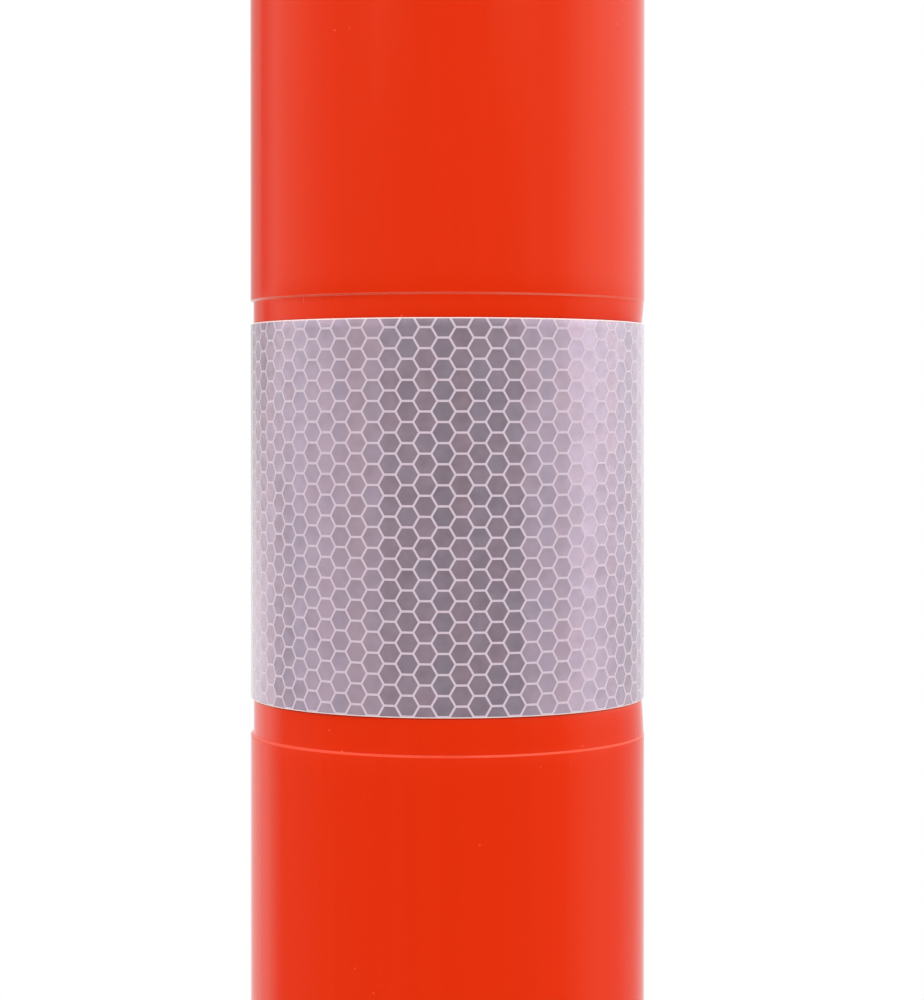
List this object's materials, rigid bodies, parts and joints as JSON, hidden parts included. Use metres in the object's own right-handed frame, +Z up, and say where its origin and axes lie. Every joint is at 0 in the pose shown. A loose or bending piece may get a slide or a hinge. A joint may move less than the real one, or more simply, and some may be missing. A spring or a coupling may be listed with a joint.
{
  "type": "flexible traffic bollard",
  "caption": "Round self-righting traffic post with reflective honeycomb bands, a ribbed flexible neck, a domed cap and a gusseted bolt-down base.",
  "frame": {"origin": "centre of the base's underside, on the ground", "axes": "+Z up along the post; -Y is the front, +Y is the side with the seams of the tape bands"},
  "size_m": [0.2, 0.2, 0.75],
  "materials": {
    "post_plastic": "glossy moulded red-orange",
    "reflective_tape": "silver honeycomb retroreflective sheeting under a clear film",
    "neck_polyurethane": "satin moulded red-orange elastomer",
    "base_polyurethane": "fine-grained moulded red-orange elastomer",
    "zinc_steel": "bright zinc plated",
    "rivet_aluminium": "satin",
    "ring_nylon": "matte black"
  },
  "bodies": {
    "base": {"base_plate": "base_polyurethane", "anchor_bush_1": "zinc_steel", "anchor_bush_2": "zinc_steel", "anchor_bush_3": "zinc_steel", "anchor_bush_4": "zinc_steel", "clamp_ring": "zinc_steel", "neck_screw_1": "zinc_steel", "neck_screw_2": "zinc_steel", "neck_screw_3": "zinc_steel", "neck_screw_4": "zinc_steel", "flex_neck": "neck_polyurethane"},
    "hoop_low": {"stiffening_ring_1": "ring_nylon"},
    "hoop_middle": {"stiffening_ring_2": "ring_nylon"},
    "hoop_high": {"stiffening_ring_3": "ring_nylon"},
    "post": {"post_tube": "post_plastic", "band_lower": "reflective_tape", "band_middle": "reflective_tape", "band_upper": "reflective_tape", "top_cap": "post_plastic", "tube_rivet_1": "rivet_aluminium", "tube_rivet_2": "rivet_aluminium", "tube_rivet_3": "rivet_aluminium", "tube_rivet_4": "rivet_aluminium", "cap_rivet_1": "rivet_aluminium", "cap_rivet_2": "rivet_aluminium", "cap_rivet_3": "rivet_aluminium"}
  },
  "joints": [
    {"name": "lean_fore_aft", "type": "hinge", "parent": "base", "child": "hoop_low", "pos_m": [0, 0, 0.056], "axis": [1, 0, 0], "range_deg": [-45, 45], "stiffness_Nm_per_rad": 50, "deforming": ["flex_neck"]},
    {"name": "lean_fore_aft_second", "type": "hinge", "parent": "hoop_low", "child": "hoop_middle", "pos_m": [0, 0, 0.096], "axis": [1, 0, 0], "range_deg": [-45, 45], "stiffness_Nm_per_rad": 50},
    {"name": "lean_sideways", "type": "hinge", "parent": "hoop_middle", "child": "hoop_high", "pos_m": [0, 0, 0.136], "axis": [0, 1, 0], "range_deg": [-45, 45], "stiffness_Nm_per_rad": 50},
    {"name": "lean_sideways_second", "type": "hinge", "parent": "hoop_high", "child": "post", "pos_m": [0, 0, 0.176], "axis": [0, 1, 0], "range_deg": [-45, 45], "stiffness_Nm_per_rad": 50}
  ],
  "couplings": [
    {"joint": "lean_fore_aft_second", "follows": "lean_fore_aft", "ratio": 1},
    {"joint": "lean_sideways_second", "follows": "lean_sideways", "ratio": 1}
  ]
}
